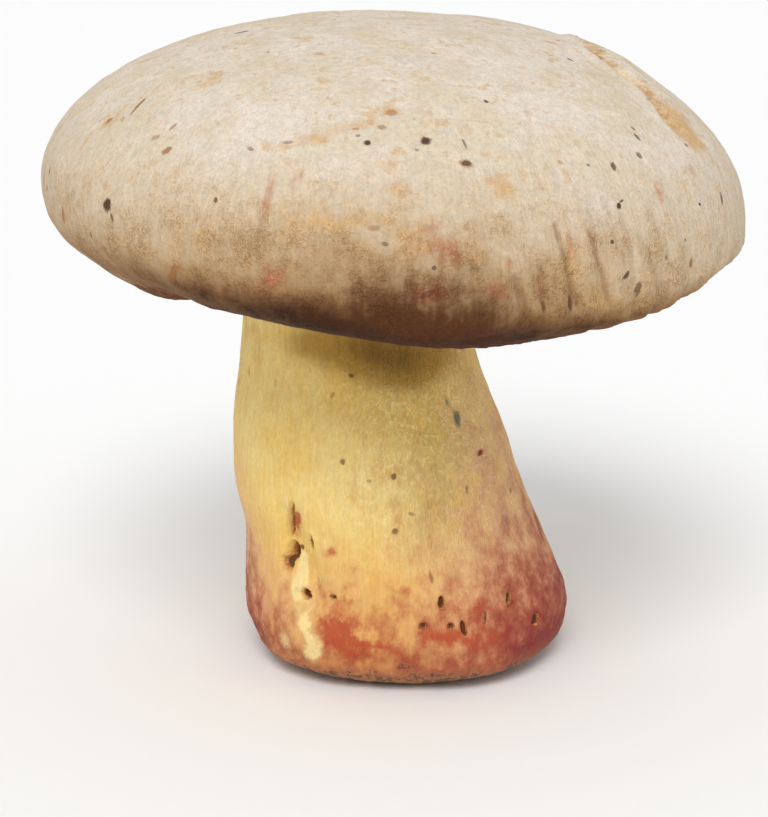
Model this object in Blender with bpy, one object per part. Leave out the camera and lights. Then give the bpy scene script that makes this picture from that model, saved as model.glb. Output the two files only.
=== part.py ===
# A pale-capped bolete, picked and trimmed at the foot, standing on its cut face.
# It grew as one piece, so cap, tube layer and stem are one closed body.
# Metres, +Z up. The origin is the centre of the cut face, and -Y is the side that the photo shows.
from math import pi, sqrt

import bmesh
import bpy
import numpy as np
from mathutils import Vector
from mathutils.geometry import delaunay_2d_cdt

# Cap
CAP_RADIUS = 0.0784
CAP_CENTRE_X = -0.0039
WIDEST_HEIGHT = 0.1024
DOME_RISE = 0.0439
DOME_FULLNESS = 2.10
CURL_DROP = 0.0134
CURL_FULLNESS = 2.5
MARGIN_SHARE = 0.798
TILT_X = 0.0133
TILT_Y = 0.0104
# Each wave is (turns per circle, cosine part, sine part).
PLAN_WAVES = ((2, -0.0033, -0.0054), (3, 0.0176, 0.0107))
WIDEST_WAVES = ((1, -0.0047, -0.0002), (2, 0.0018, 0.0013))
CURL_WAVES = ((1, -0.0036, 0.0002), (2, -0.0006, 0.0018), (3, -0.0025, -0.0005))
MARGIN_WAVES = ((1, 0.0276, 0.0024),)

# Cap relief
CREASE_POINTS = ((0.0415, 0.006), (0.0445, -0.016), (0.0500, -0.029), (0.0580, -0.038))
CREASE_WIDTH = 0.0040
CREASE_DEPTH = 0.0026
LIP_RISE = 0.0009
RIDGE_AZIMUTHS = (-71, -63.5, -57, -51, -44, -37, -28)
RIDGE_HEIGHTS = (0.0016, 0.0009, 0.0012, 0.0008, 0.0009, 0.0006, 0.0005)
RIDGE_HALF_WIDTH = 1.9
SWELL_AZIMUTH = -88
SWELL_SPREAD = 17
SWELL_HEIGHT = 0.0016
MARGIN_NICKS = ((-163, 0.0022), (-132, 0.0020), (-52, 0.0011), (38, 0.0018), (104, 0.0022), (151, 0.0015))
NICK_SPREAD = 3.2

# Tube layer under the cap
RIM_INSET = 0.0016
RIM_RISE = 0.0013
TUBE_BULGE = 0.0024
PORE_PITCH = 0.0050
PORE_DEPTH = 0.0019
BOUNDARY_CLEARANCE = 0.0015

# Stem: height, half width, sideways shift of the axis
STEM_STATIONS = (
    (0.0000, 0.0270, 0.0000),
    (0.0030, 0.0335, 0.0003),
    (0.0090, 0.0368, 0.0002),
    (0.0210, 0.0357, -0.0012),
    (0.0310, 0.0336, -0.0033),
    (0.0400, 0.0327, -0.0060),
    (0.0500, 0.0312, -0.0079),
    (0.0600, 0.0291, -0.0096),
    (0.0700, 0.0269, -0.0108),
    (0.0800, 0.0256, -0.0114),
    (0.0880, 0.0262, -0.0116),
)
STEM_DEPTH_SHARE = 0.95
STEM_TOP = 0.0880
NET_HEIGHT = 0.0005
NET_BOTTOM = 0.022
FOOT_LOBES = 0.0009
# The grub-eaten tear in the stem: azimuth, height, half width in degrees, half height, depth
TEARS = (
    (-129, 0.0335, 6.0, 0.0085, 0.0050),
    (-122, 0.0245, 4.0, 0.0050, 0.0028),
    (-62, 0.0115, 4.0, 0.0035, 0.0018),
    (-44, 0.0200, 4.0, 0.0035, 0.0016),
)

# How finely the faces are laid
CAP_SEGMENTS = 96
DOME_RINGS = 18
CURL_RINGS = 7
STEM_SEGMENTS = 64
STEM_RINGS = 29

SKIN_COLOUR = (0.66, 0.58, 0.46, 1.0)
SKIN_ROUGHNESS = 0.75


def waves(theta, parts):
    return sum(c * np.cos(n * theta) + s * np.sin(n * theta) for n, c, s in parts)


def smooth_step(t):
    t = np.clip(t, 0.0, 1.0)
    return t * t * (3.0 - 2.0 * t)


def bell(theta, azimuth, spread):
    """1 at an azimuth in degrees, falling to 0 on both sides."""
    away = (np.degrees(theta) - azimuth + 180.0) % 360.0 - 180.0
    return np.exp(-((away / spread) ** 2))


def crease_relief(x, y):
    """The old slit in the skin on the right: a groove along a line, with a low lip outside it."""
    relief = np.zeros_like(x)
    nearest = np.full_like(x, np.inf)
    for (ax, ay), (bx, by) in zip(CREASE_POINTS, CREASE_POINTS[1:]):
        length = sqrt((bx - ax) ** 2 + (by - ay) ** 2)
        ux, uy = (bx - ax) / length, (by - ay) / length
        along = np.clip((x - ax) * ux + (y - ay) * uy, 0.0, length)
        away = np.hypot(x - ax - along * ux, y - ay - along * uy)
        outside = (x - ax) * -uy + (y - ay) * ux > 0
        groove = -CREASE_DEPTH * np.exp(-((away / CREASE_WIDTH) ** 2))
        lip = LIP_RISE * np.exp(-(((away - 2 * CREASE_WIDTH) / CREASE_WIDTH) ** 2))
        here = groove + np.where(outside, lip, 0.0)
        relief = np.where(away < nearest, here, relief)
        nearest = np.minimum(away, nearest)
    return relief


def margin_relief(theta, s):
    """Radial folds on the right front, one soft swelling at the front and nicks at the margin."""
    fade = smooth_step((s - 0.62) / 0.5)
    relief = SWELL_HEIGHT * bell(theta, SWELL_AZIMUTH, SWELL_SPREAD)
    for azimuth, height in zip(RIDGE_AZIMUTHS, RIDGE_HEIGHTS):
        relief = relief + height * bell(theta, azimuth, RIDGE_HALF_WIDTH)
    nicks = sum(depth * bell(theta, azimuth, NICK_SPREAD) for azimuth, depth in MARGIN_NICKS)
    return relief * fade - nicks * smooth_step((s - 1.55) / 0.45)


def uneven(theta, s):
    """Slow swells that keep the dome from being a turned shape."""
    return 0.0007 * np.sin(3 * theta + 4 * s) * s + 0.0005 * np.cos(5 * theta - 6 * s) * s


def cap_surface(theta, s):
    """Points of the cap's skin. s runs 0 to 1 from crown to widest line, and 1 to 2 on to the margin."""
    radius = CAP_RADIUS * (1.0 + waves(theta, PLAN_WAVES))
    dome = np.clip(s, 0.0, 1.0) * pi / 2
    full_curl = np.arccos((MARGIN_SHARE + waves(theta, MARGIN_WAVES)) ** (CURL_FULLNESS / 2))
    curl = np.clip(s - 1.0, 0.0, 1.0) * full_curl
    share = np.sin(dome) ** (2 / DOME_FULLNESS) * np.cos(curl) ** (2 / CURL_FULLNESS)
    rise = DOME_RISE * np.clip(np.cos(dome), 0.0, 1.0) ** (2 / DOME_FULLNESS)
    drop = (np.sin(curl) / np.sin(full_curl)) ** (2 / CURL_FULLNESS)
    x = radius * share * np.cos(theta)
    y = radius * share * np.sin(theta)
    z = rise - drop * (CURL_DROP + waves(theta, CURL_WAVES))
    z = z + WIDEST_HEIGHT - TILT_X * x - TILT_Y * y
    z = z + waves(theta, WIDEST_WAVES) * np.clip(s, 0.0, 1.0) ** 2
    x = x + CAP_CENTRE_X
    out = np.stack([x - CAP_CENTRE_X, y, 1.6 * (z - WIDEST_HEIGHT)], axis=-1)
    out = out / np.maximum(np.linalg.norm(out, axis=-1, keepdims=True), 1e-9)
    relief = crease_relief(x, y) * (s < 1.2) + margin_relief(theta, s) + uneven(theta, s)
    return np.stack([x, y, z], axis=-1) + out * np.asarray(relief)[..., None]


def through(stations, z, column):
    """A smooth curve through the stem's stations, by Hermite spans between neighbours."""
    heights = np.array([row[0] for row in stations])
    values = np.array([row[column] for row in stations])
    slopes = np.gradient(values, heights)
    i = np.clip(np.searchsorted(heights, z) - 1, 0, len(heights) - 2)
    span = heights[i + 1] - heights[i]
    t = np.clip((z - heights[i]) / span, 0.0, 1.0)
    start = (2 * t**3 - 3 * t**2 + 1) * values[i] + (t**3 - 2 * t**2 + t) * span * slopes[i]
    end = (3 * t**2 - 2 * t**3) * values[i + 1] + (t**3 - t**2) * span * slopes[i + 1]
    return start + end


def stem_surface(theta, z, crest):
    """Points of the stem's skin. crest is +1 on the net's cords, -1 in its meshes."""
    half = through(STEM_STATIONS, z, 1)
    shift = through(STEM_STATIONS, z, 2)
    foot = 1.0 - smooth_step(z / 0.03)
    half = half + FOOT_LOBES * foot * np.sin(5 * theta + 0.6) * smooth_step(z / 0.004)
    net = smooth_step((z - NET_BOTTOM) / 0.02) * smooth_step((STEM_TOP - z) / 0.004)
    half = half + NET_HEIGHT * crest * net
    for azimuth, height, spread, reach, depth in TEARS:
        half = half - depth * bell(theta, azimuth, spread) * np.exp(-(((z - height) / reach) ** 2))
    x = shift + half * np.cos(theta)
    y = STEM_DEPTH_SHARE * half * np.sin(theta)
    return np.stack([x, y, z + 0 * theta], axis=-1)


def ring_of(bm, points):
    return [bm.verts.new(p) for p in points]


def bridge(bm, inner, outer):
    """Faces between two rings of equal count, or from a ring to one of twice its count."""
    n = len(inner)
    for i in range(n):
        j = (i + 1) % n
        if len(outer) == n:
            bm.faces.new((inner[i], outer[i], outer[j], inner[j]))
        else:
            a, b, c = outer[2 * i], outer[2 * i + 1], outer[(2 * i + 2) % len(outer)]
            bm.faces.new((inner[i], a, b))
            bm.faces.new((inner[i], b, inner[j]))
            bm.faces.new((inner[j], b, c))


def angles(count):
    return np.arange(count) * 2 * pi / count


def add_cap(bm):
    """The skin, with fewer points in the rings near the crown. Returns the ring at the margin."""
    crown = bm.verts.new(cap_surface(np.zeros(1), np.zeros(1))[0])
    steps = [k / DOME_RINGS for k in range(1, DOME_RINGS + 1)]
    steps += [1 + k / CURL_RINGS for k in range(1, CURL_RINGS + 1)]
    last = None
    for s in steps:
        count = CAP_SEGMENTS // (4 if s < 0.19 else 2 if s < 0.42 else 1)
        theta = angles(count)
        ring = ring_of(bm, cap_surface(theta, np.full(count, s)))
        if last is None:
            for i in range(count):
                bm.faces.new((crown, ring[i], ring[(i + 1) % count]))
        else:
            bridge(bm, last, ring)
        last = ring
    return last


def add_rim(bm, margin):
    """The cap's edge turns up to the tubes in a narrow bare rim."""
    centre = Vector((CAP_CENTRE_X, 0.0, 0.0))
    points = []
    for v in margin:
        inward = (centre - Vector((v.co.x, v.co.y, 0.0))).normalized()
        points.append(v.co + inward * RIM_INSET + Vector((0.0, 0.0, RIM_RISE)))
    rim = ring_of(bm, points)
    bridge(bm, margin, rim)
    return rim


def add_tubes(bm, rim, collar):
    """The sponge under the cap: six-sided pores, larger than life, between the rim and the stem."""
    outer = np.array([v.co[:] for v in rim])
    inner = np.array([v.co[:] for v in collar])
    mid = inner[:, :2].mean(axis=0)

    def polar(points):
        away = points[:, :2] - mid
        return np.arctan2(away[:, 1], away[:, 0]), np.hypot(away[:, 0], away[:, 1])

    def around(theta, ring, values):
        turn, _ = polar(ring)
        order = np.argsort(turn)
        return np.interp(theta, turn[order], values[order], period=2 * pi)

    step = PORE_PITCH / sqrt(3)
    reach = int(CAP_RADIUS * 1.2 / step)
    rows, columns = np.meshgrid(np.arange(-reach, reach), np.arange(-reach, reach), indexing="ij")
    lattice = np.stack([(columns + rows / 2) * step, rows * step * sqrt(3) / 2], axis=-1).reshape(-1, 2)
    is_pore = ((columns - rows) % 3 == 0).reshape(-1)
    lattice = lattice + mid
    theta, away = polar(lattice)
    low, high = around(theta, inner, polar(inner)[1]), around(theta, outer, polar(outer)[1])
    keep = (away > low + BOUNDARY_CLEARANCE) & (away < high - BOUNDARY_CLEARANCE)
    lattice, is_pore = lattice[keep], is_pore[keep]
    theta, away, low, high = theta[keep], away[keep], low[keep], high[keep]
    share = (away - low) / (high - low)
    level = (1 - share) * around(theta, inner, inner[:, 2]) + share * around(theta, outer, outer[:, 2])
    bulge = TUBE_BULGE * np.sin(pi * share**0.8)
    height = level - bulge + np.where(is_pore, PORE_DEPTH * smooth_step(6 * share * (1 - share)), 0.0)

    count, hole = len(outer), len(inner)
    edges = [(i, (i + 1) % count) for i in range(count)]
    edges += [(count + i, count + (i + 1) % hole) for i in range(hole)]
    flat = [Vector(p[:2]) for p in (*outer, *inner, *lattice)]
    triangles, origins = delaunay_2d_cdt(flat, edges, [], 1, 1e-7)[2:4]
    verts = [*rim, *collar, *(bm.verts.new((p[0], p[1], h)) for p, h in zip(lattice, height))]
    owner = [verts[o[0]] for o in origins]
    closed_over = set(collar)
    for triangle in triangles:
        corners = [owner[i] for i in triangle]
        if not closed_over.issuperset(corners):
            bm.faces.new(corners)


def add_stem(bm):
    """The stem from the collar under the tubes to the cut face. Returns the collar's ring."""
    theta = angles(STEM_SEGMENTS)
    turn = np.arange(STEM_SEGMENTS)
    heights = STEM_TOP * (1 - np.linspace(0.0, 1.0, STEM_RINGS + 1))
    collar = last = None
    for k, z in enumerate(heights):
        # The net's cords cross every second column, and swap columns every third ring.
        crest = np.where((turn + k // 3) % 2 == 0, 1.0, -1.0)
        ring = ring_of(bm, stem_surface(theta, np.full(STEM_SEGMENTS, z), crest))
        if last is None:
            collar = ring
        else:
            bridge(bm, last, ring)
        last = ring
    foot = bm.verts.new((0.0, 0.0, 0.0))
    for i in range(STEM_SEGMENTS):
        bm.faces.new((last[i], foot, last[(i + 1) % STEM_SEGMENTS]))
    return collar


def skin_material():
    material = bpy.data.materials.new("bolete_skin")
    material.use_nodes = True
    shader = material.node_tree.nodes["Principled BSDF"]
    shader.inputs["Base Color"].default_value = SKIN_COLOUR
    shader.inputs["Roughness"].default_value = SKIN_ROUGHNESS
    shader.inputs["Metallic"].default_value = 0.0
    return material


def main():
    for obj in list(bpy.data.objects):
        bpy.data.objects.remove(obj)
    bm = bmesh.new()
    margin = add_cap(bm)
    rim = add_rim(bm, margin)
    collar = add_stem(bm)
    add_tubes(bm, rim, collar)
    bmesh.ops.recalc_face_normals(bm, faces=bm.faces)
    bmesh.ops.triangulate(bm, faces=bm.faces)
    mesh = bpy.data.meshes.new("bolete")
    bm.to_mesh(mesh)
    bm.free()
    mesh.shade_smooth()
    mesh.materials.append(skin_material())
    bolete = bpy.data.objects.new("bolete", mesh)
    bpy.context.scene.collection.objects.link(bolete)


main()
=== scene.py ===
from math import cos, pi, radians, sin, sqrt

import bpy
import numpy as np
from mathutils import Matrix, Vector


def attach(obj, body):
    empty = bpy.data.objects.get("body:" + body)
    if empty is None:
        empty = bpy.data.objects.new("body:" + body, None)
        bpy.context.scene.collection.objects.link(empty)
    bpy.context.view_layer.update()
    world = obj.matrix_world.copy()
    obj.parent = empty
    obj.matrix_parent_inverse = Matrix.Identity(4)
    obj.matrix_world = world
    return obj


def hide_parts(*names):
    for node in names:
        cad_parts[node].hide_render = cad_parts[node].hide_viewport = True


# A pale bolete, picked and trimmed at the foot. Metres, the frame's own axes.
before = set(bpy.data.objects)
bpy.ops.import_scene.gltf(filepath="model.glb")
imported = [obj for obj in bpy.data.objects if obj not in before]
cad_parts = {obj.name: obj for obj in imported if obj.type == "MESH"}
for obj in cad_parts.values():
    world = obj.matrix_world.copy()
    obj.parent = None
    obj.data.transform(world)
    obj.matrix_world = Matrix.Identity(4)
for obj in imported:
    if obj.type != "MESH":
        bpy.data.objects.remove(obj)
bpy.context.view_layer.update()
scene = bpy.context.scene

# The photo's own view. A mark's pixel is given in its 768 x 817 frame.
view = dict(elevation=15.0, distance=0.62, lens=120.0, sensor=36.0, target=(-0.005, 0.0, 0.057),
            width=768, height=817)
tilt = radians(view["elevation"])
sideways, up = np.array([1.0, 0.0, 0.0]), np.array([0.0, sin(tilt), cos(tilt)])
ahead = np.array([0.0, cos(tilt), -sin(tilt)])
eye = np.array(view["target"]) - ahead * view["distance"]
focal = view["lens"] / view["sensor"] * view["height"]  # in pixels


def makeCamera():
    data = bpy.data.cameras.new("photoView")
    data.lens, data.sensor_width = view["lens"], view["sensor"]
    camera = bpy.data.objects.new("photoView", data)
    scene.collection.objects.link(camera)
    camera.location = Vector(eye)
    camera.rotation_euler = (pi / 2 - tilt, 0.0, 0.0)
    scene.camera = camera


def rayTo(x, y):  # the unit way from the eye through a pixel
    ray = ahead * focal + sideways * (x - view["width"] / 2) + up * (view["height"] / 2 - y)
    return ray / np.linalg.norm(ray)


def pixelsOf(points):  # where points fall in the photo's frame
    away = points - eye
    depth = away @ ahead
    return np.stack([view["width"] / 2 + focal * away[..., 0] / depth,
                     view["height"] / 2 - focal * (away @ up) / depth], axis=-1)


# Sums used by every surface

def waves(theta, parts):  # a sum of cosines and sines round the stem's axis
    return sum(c * np.cos(n * theta) + s * np.sin(n * theta) for n, c, s in parts)


def smooth(t):  # 0 to 1 with level ends: 3 t^2 - 2 t^3
    t = np.clip(t, 0.0, 1.0)
    return t * t * (3.0 - 2.0 * t)


def bell(theta, azimuth, spread):  # e^-(d/spread)^2 of the degrees from an azimuth
    away = (np.degrees(theta) - azimuth + 180.0) % 360.0 - 180.0
    return np.exp(-((away / spread) ** 2))


def onSides(theta, sides, elsewhere=0.0):  # bells by azimuth, spread and weight, on a ground value
    return sum((weight * bell(theta, azimuth, spread) for azimuth, spread, weight in sides), elsewhere)


def bump(t, middle, width):  # e^-((t - middle) / width)^2
    return np.exp(-(((t - middle) / width) ** 2))


def lumps(points, cell, seed=0.0):  # -1 to 1: random heights at the corners of a lattice, eased between them
    spot = points / cell
    base = np.floor(spot)
    t = smooth(spot - base)
    total = 0.0
    for corner in np.ndindex(2, 2, 2):
        key = (base + corner) @ np.array([127.1, 311.7, 74.7]) + 19.19 * seed
        height = np.sin(key) * 43758.5453
        weight = np.prod(np.where(np.array(corner) == 1, t, 1.0 - t), axis=-1)
        total = total + (height - np.floor(height)) * weight
    return 2.0 * total - 1.0


def normalsOf(grid):  # outward normals of rings that run down the outside and turn anticlockwise
    along = np.gradient(grid, axis=0)
    around = np.roll(grid, -1, axis=1) - np.roll(grid, 1, axis=1)
    normal = np.cross(along, around)
    return normal / np.maximum(np.linalg.norm(normal, axis=-1, keepdims=True), 1e-12)


def place(grid, normals, x, y):
    # the point of a surface behind a pixel: its nearest grid point that faces the eye,
    # then the ray is met with the flat there
    seen = ((eye - grid) * normals).sum(axis=-1) > 0
    gap = np.where(seen, ((pixelsOf(grid) - (x, y)) ** 2).sum(axis=-1), np.inf)
    spot = np.unravel_index(np.argmin(gap), gap.shape)
    point, normal = grid[spot], normals[spot]
    ray = rayTo(x, y)
    reach = (point - eye) @ normal / min(ray @ normal, -0.12)
    step = eye + ray * reach - point
    size = np.linalg.norm(step)
    return point + step * min(1.0, 0.003 / max(size, 1e-9)), normal


def tangents(normal, turn):  # two ways in the surface, the first turned by degrees from the picture's right
    right = sideways - normal * normal[0]
    right = right / np.linalg.norm(right)
    over = np.cross(normal, right)
    c, s = cos(radians(turn)), sin(radians(turn))
    return right * c + over * s, over * c - right * s


def patch(points, grid, normals, mark):
    # 1 in the middle of a mark and 0 past its edge, by e^-(a^2 + b^2) in the surface; sizes in millimetres
    x, y, wide, tall, turn = mark
    centre, normal = place(grid, normals, x, y)
    first, second = tangents(normal, turn)
    away = points - centre
    a, b, c = (away @ first) / (wide * 1e-3), (away @ second) / (tall * 1e-3), (away @ normal) / 0.008
    return np.exp(-(a * a + b * b + c * c))


def patchMasks(grid, patches):  # the soft patches of each colour, added up by strength
    form, normals = grid["form"], grid["normals"]
    return {name: sum(weight * patch(form, form, normals, mark) for *mark, weight in marks)
            for name, marks in patches.items()}


markLayers = 4  # marks that stand close together go in different layers


def markFields(grid, marks):
    # for each point the coordinates of the nearest small mark, in half sizes from its middle and along its
    # own ways, and how dark it is. They are linear over a face, so a mark may be finer than the mesh.
    # A mark goes in the first layer where its neighbours are far enough away.
    form, normals = grid["form"], grid["normals"]
    clear, far, reach = 0.0065, 9.0, 0.012
    held = [[] for layer in range(markLayers)]
    for x, y, wide, tall, turn, dark in marks:
        centre, normal = place(form, normals, x, y)
        room = [min([np.linalg.norm(centre - other[0]) for other in layer], default=1.0) for layer in held]
        chosen = next((k for k in range(markLayers) if room[k] > clear), int(np.argmax(room)))
        held[chosen].append((centre, normal, wide * 1e-3, tall * 1e-3, turn, dark))
    fields = []
    for layer in held:
        local, strength = np.full(form.shape, far), np.zeros(form.shape[:-1])
        nearest = np.full(form.shape[:-1], np.inf)
        for centre, normal, wide, tall, turn, dark in layer:
            first, second = tangents(normal, turn)
            away = form - centre
            here = np.stack([away @ first / wide, away @ second / tall, away @ normal / 0.004], axis=-1)
            gap = np.linalg.norm(away, axis=-1)
            closer = (gap < nearest) & (gap < reach)
            local[closer] = here[closer]
            strength[closer] = np.where(gap[closer] < 1.4 * max(wide, tall) + 0.0013, dark, 0.0)
            nearest = np.where(closer, gap, nearest)
        fields.append((local, strength))
    return fields


def ringMesh(name, rings, top, bottom):  # a closed skin: rings of equal count between two poles
    count, around = rings.shape[:2]
    points = np.concatenate([[top], rings.reshape(-1, 3), [bottom]])
    i = np.arange(around)
    j = (i + 1) % around
    k = np.arange(count - 1)[:, None] * around + 1
    quads = np.stack([k + i, k + around + i, k + around + j, k + j], axis=-1).reshape(-1, 4)
    last = (count - 1) * around + 1
    caps = np.concatenate([np.stack([0 * i, 1 + i, 1 + j], axis=-1),
                           np.stack([0 * i + len(points) - 1, last + j, last + i], axis=-1)])
    return solidMesh(name, points, quads.tolist() + caps.tolist())


def solidMesh(name, points, faces):
    mesh = bpy.data.meshes.new(name)
    mesh.from_pydata(points.tolist(), [], faces)
    mesh.shade_smooth()
    piece = bpy.data.objects.new(name, mesh)
    scene.collection.objects.link(piece)
    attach(piece, "root")
    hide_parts("bolete")
    return piece


def paint(piece, name, values):  # one number for each point, for the piece's material
    layer = piece.data.attributes.new(name, "FLOAT", "POINT")
    layer.data.foreach_set("value", np.asarray(values, dtype=np.float32).ravel())


def paintVector(piece, name, values):  # and one vector for each point
    layer = piece.data.attributes.new(name, "FLOAT_VECTOR", "POINT")
    layer.data.foreach_set("vector", np.asarray(values, dtype=np.float32).ravel())


def overRings(values, top, bottom):  # a ring piece's values in the order of its points
    return np.concatenate([[top], values.ravel(), [bottom]])


def paintMarks(piece, name, fields, tailRings):  # the layers of small marks of a ring piece
    for k, (local, strength) in enumerate(fields):
        around = local.shape[1]
        tail, end = np.full((tailRings * around, 3), 9.0), np.full((1, 3), 9.0)
        paintVector(piece, name + "At" + str(k), np.concatenate([end, local.reshape(-1, 3), tail, end]))
        dark = np.concatenate([strength, np.zeros((tailRings, around))])
        paint(piece, name + "Dark" + str(k), overRings(dark, 0.0, 0.0))


# Shader maths

class Wire:  # a socket that can be reckoned with
    def __init__(self, tree, socket=None):
        self.tree, self.socket = tree, socket

    def node(self, kind, settings, sockets, out=0):
        made = self.tree.nodes.new(kind)
        for key, value in settings.items():
            setattr(made, key, value)
        for key, value in sockets.items():
            if isinstance(value, Wire):
                self.tree.links.new(value.socket, made.inputs[key])
            else:
                made.inputs[key].default_value = value
        return Wire(self.tree, made.outputs[out])

    def math(self, operation, *values):
        return self.node("ShaderNodeMath", {"operation": operation}, dict(enumerate((self, *values))))

    def __add__(self, other):
        return self.math("ADD", other)

    def __sub__(self, other):
        return self.math("SUBTRACT", other)

    def __rsub__(self, other):
        return self.math("MULTIPLY_ADD", -1.0, other)

    def __mul__(self, other):
        return self.math("MULTIPLY", other)

    __radd__, __rmul__ = __add__, __mul__

    def over(self, other):  # the larger of two
        return self.math("MAXIMUM", other)

    def rise(self, low, high, most=1.0):  # 0 below low, most above high, eased between
        return self.node("ShaderNodeMapRange", {"interpolation_type": "SMOOTHSTEP"},
                         {"Value": self, "From Min": low, "From Max": high, "To Max": most})

    def vector(self, operation, other, out=0):
        return self.node("ShaderNodeVectorMath", {"operation": operation}, {0: self, 1: other}, out)

    def blend(self, first, second):  # colours, by this as the share of the second
        return self.node("ShaderNodeMix", {"data_type": "RGBA"}, {0: self, 6: first, 7: second}, 2)

    def noise(self, scale, detail, rough, out=0):
        return self.node("ShaderNodeTexNoise", {},
                         {"Vector": self, "Scale": scale, "Detail": detail, "Roughness": rough}, out)

    def ripple(self, scale, detail, rough):  # a noise about 0
        return self.noise(scale, detail, rough) - 0.5

    def drift(self, scale, detail, rough, *by):  # a small way that changes from place to place
        noise = self.noise(scale, detail, rough, 1)
        return noise.vector("SUBTRACT", (0.5, 0.5, 0.5)).stretched(*by)

    def warped(self, scale, by):  # the place itself, pushed about by a noise
        return self.vector("ADD", self.drift(scale, 2.0, 0.6, by, by, by))

    def seams(self, scale):  # how far a place is from the seams between cells, in cells
        return self.node("ShaderNodeTexVoronoi", {"feature": "DISTANCE_TO_EDGE"},
                         {"Vector": self, "Scale": scale})

    def scaled(self, by):
        return self.node("ShaderNodeVectorMath", {"operation": "SCALE"}, {0: self, "Scale": by})

    def attribute(self, name):
        return self.node("ShaderNodeAttribute", {"attribute_name": name}, {}, 2)

    def stretched(self, x, y, z):
        return self.vector("MULTIPLY", (x, y, z))

    def marks(self, name, fray):
        # 1 inside the ovals that markFields set out, 0 outside, with an edge frayed by a noise
        total = None
        for k in range(markLayers):
            local = self.node("ShaderNodeAttribute", {"attribute_name": name + "At" + str(k)}, {}, 1)
            inside = local.vector("ADD", fray).vector("LENGTH", (0, 0, 0), 1).rise(1.35, 0.70)
            inside = inside * self.attribute(name + "Dark" + str(k))
            total = inside if total is None else total.over(inside)
        return total


def tint(red, green, blue):  # a colour as a paint chart gives it, 0 to 255, made linear
    return tuple(((c / 255 + 0.055) / 1.055) ** 2.4 for c in (red, green, blue)) + (1.0,)


def tints(colours):  # a piece's colours by name
    return {name: tint(*colour) for name, colour in colours.items()}


def newMaterial(name):
    material = bpy.data.materials.new(name)
    material.use_nodes = True
    tree = material.node_tree
    return material, tree, tree.nodes["Principled BSDF"]


def feed(tree, shader, colour, rough, height, reach):  # the links that every finish ends in
    tree.links.new(colour.socket, shader.inputs["Base Color"])
    tree.links.new(rough.socket, shader.inputs["Roughness"])
    bumped = height.node("ShaderNodeBump", {}, {"Height": height, "Distance": reach, "Strength": 1.0})
    tree.links.new(bumped.socket, shader.inputs["Normal"])


# Cap

cap = dict(
    radius=0.0784, centreX=-0.0039, widest=0.1024, rise=0.0439, fullness=2.10,
    drop=0.0134, curlFullness=2.5, marginShare=0.798, tiltX=0.0133, tiltY=0.0104,
    planWaves=((2, -0.0033, -0.0054), (3, 0.0176, 0.0107)),
    widestWaves=((1, -0.0047, -0.0002), (2, 0.0018, 0.0013)),
    curlWaves=((1, -0.0036, 0.0002), (2, -0.0006, 0.0018), (3, -0.0025, -0.0005)),
    marginWaves=((1, 0.0276, 0.0024),),
    around=440, domeRings=142, curlRings=58,
    colours=dict(
        cream=(214, 199, 175), pale=(221, 209, 194), sand=(202, 172, 132), grey=(216, 207, 195),
        ochre=(202, 160, 104), pink=(174, 104, 74), brown=(86, 48, 20), fleck=(194, 160, 116),
        # groove is painted shade in the furrows, crest a painted highlight on their ridges
        mist=(204, 200, 192), groove=(134, 94, 58), crest=(206, 172, 130), rim=(92, 42, 26),
        flesh=(190, 146, 92), paleFlesh=(220, 196, 156), rust=(132, 76, 38), dust=(120, 84, 54),
        scar=(158, 98, 42), speck=(70, 32, 16)),
    # how far down the tan and painted shade begin, how far they spread, and the side they favour; then each
    # tan's own range, the darkest mostly painted shade
    tanStart=0.56, tanSpan=0.86, tanSides=((-88, 46, 0.54),), tanElsewhere=0.46,
    tans=((0.03, 0.32, (203, 181, 151)), (0.18, 0.50, (178, 145, 104)), (0.36, 0.76, (134, 96, 60)),
          (0.60, 1.00, (54, 27, 9))),
    folds=((-64.5, 0.0010), (-59, 0.0015), (-53, 0.0012), (-47, 0.0010), (-40, 0.0008), (-30, 0.0005)),
    foldSpread=1.8, swellAzimuth=-82, swellSpread=12, swellHeight=0.0024,
    nicks=((-163, 0.0022), (-132, 0.0020), (38, 0.0018), (104, 0.0022), (151, 0.0015)),
    nickSpread=3.2, rimInset=0.0016, rimRise=0.0013,
    # the torn slit on the right, by its pixels from the skyline down
    slit=((577, 42), (592, 56), (613, 71), (634, 86), (646, 99), (655, 110), (660, 120), (670, 131)),
    slitDepth=0.0021, slitWidth=0.0060,
    # fine furrows down the right front, by their pixels, with a half width and depth in millimetres
    furrows=(
        (((527, 98), (529, 128), (531, 150), (538, 172), (545, 190)), 1.1, 0.24),
        (((556, 226), (561, 242), (566, 262), (571, 285), (576, 303)), 1.1, 0.60),
        (((540, 268), (541, 285), (545, 302)), 1.2, 0.55),
        (((590, 232), (596, 255), (603, 280), (607, 297)), 1.1, 0.45),
        (((513, 280), (520, 298), (523, 318)), 1.5, 0.85),
        (((606, 205), (612, 232), (621, 262)), 1.0, 0.30),
        (((634, 205), (642, 240), (652, 268)), 1.0, 0.24),
    ),
)


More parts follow.
